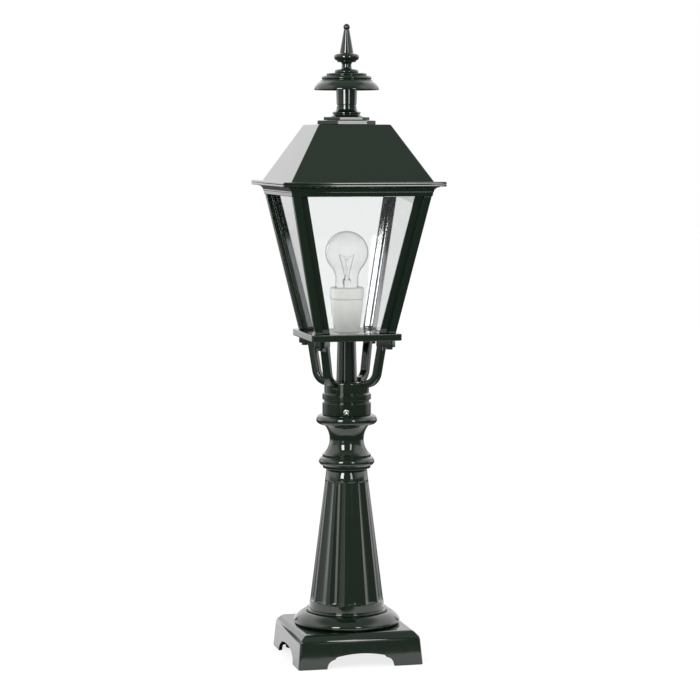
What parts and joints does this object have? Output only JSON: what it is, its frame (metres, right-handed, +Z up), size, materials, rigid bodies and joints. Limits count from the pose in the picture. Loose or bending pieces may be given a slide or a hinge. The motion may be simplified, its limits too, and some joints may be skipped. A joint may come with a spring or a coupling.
{
  "type": "pedestal lantern",
  "caption": "Square tapered glass lantern with a hinged roof, chimney and finial, swivelling on a fluted cast column with an arched hollow foot.",
  "frame": {"origin": "centre of the anchor hole pattern, on the ground under the middle of the foot", "axes": "+Z up, -Y towards the front, +X to the right seen from the front"},
  "size_m": [0.226, 0.2325, 0.8835],
  "materials": {
    "green_paint": "gloss",
    "pane_glass": "clear float glass",
    "lamp_glass": "clear lamp glass",
    "bright_aluminium": "mill-finish aluminium strip",
    "lamp_cap": "satin aluminium",
    "porcelain": "white glaze",
    "brass": "plain brass",
    "lamp_wire": "drawn wire",
    "lead_sheath": "matt black sheath",
    "stainless": "stainless",
    "zinc_steel": "zinc-plated steel"
  },
  "bodies": {
    "pedestal": {"plinth": "green_paint", "column": "green_paint", "capital": "green_paint", "stay_tube": "zinc_steel", "stay_nut_low": "zinc_steel", "stay_nut_high": "zinc_steel", "stay_washer": "zinc_steel"},
    "head": {"set_screw_1": "stainless", "set_screw_2": "stainless", "set_screw_3": "stainless", "arm_bracket": "green_paint", "lead_sleeve": "green_paint", "bottom_frame": "green_paint", "floor_plate": "green_paint", "pad_screw_1": "zinc_steel", "pad_screw_2": "zinc_steel", "pad_screw_3": "zinc_steel", "pad_screw_4": "zinc_steel", "post_rear_right": "green_paint", "post_rear_left": "green_paint", "post_front_left": "green_paint", "post_front_right": "green_paint", "pane_rear": "pane_glass", "pane_left": "pane_glass", "pane_front": "pane_glass", "pane_right": "pane_glass", "strip_rear_1": "bright_aluminium", "strip_rear_2": "bright_aluminium", "strip_left_1": "bright_aluminium", "strip_left_2": "bright_aluminium", "strip_front_1": "bright_aluminium", "strip_front_2": "bright_aluminium", "strip_right_1": "bright_aluminium", "strip_right_2": "bright_aluminium", "top_frame": "green_paint", "hinge_leaf_fixed": "green_paint", "hinge_pin": "stainless", "holder_body": "porcelain", "holder_ring": "porcelain", "thread_shell": "brass", "contact": "brass", "holder_screw_1": "zinc_steel", "holder_screw_2": "zinc_steel", "supply_lead": "lead_sheath"},
    "roof_part": {"hinge_leaf_moving": "green_paint", "roof_rear": "green_paint", "roof_left": "green_paint", "roof_front": "green_paint", "roof_right": "green_paint", "roof_deck": "green_paint", "chimney": "green_paint", "smoke_cap": "green_paint", "finial": "green_paint", "finial_rod": "zinc_steel", "clamp_bar": "zinc_steel", "rod_nut": "zinc_steel"},
    "bulb": {"bulb_glass": "lamp_glass", "bulb_cap": "lamp_cap", "bulb_stem": "lamp_glass", "filament": "lamp_wire"}
  },
  "joints": [
    {"name": "head_swivel", "type": "hinge", "parent": "pedestal", "child": "head", "pos_m": [0, 0, 0.3415], "axis": [0, 0, 1], "continuous": true},
    {"name": "roof_hinge", "type": "hinge", "parent": "head", "child": "roof_part", "pos_m": [0, 0.1165, 0.664], "axis": [-1, 0, 0], "range_deg": [0, 100]},
    {"name": "bulb_lift", "type": "slide", "parent": "head", "child": "bulb", "axis": [0, 0, 1], "range_m": [0, 0.03]}
  ]
}
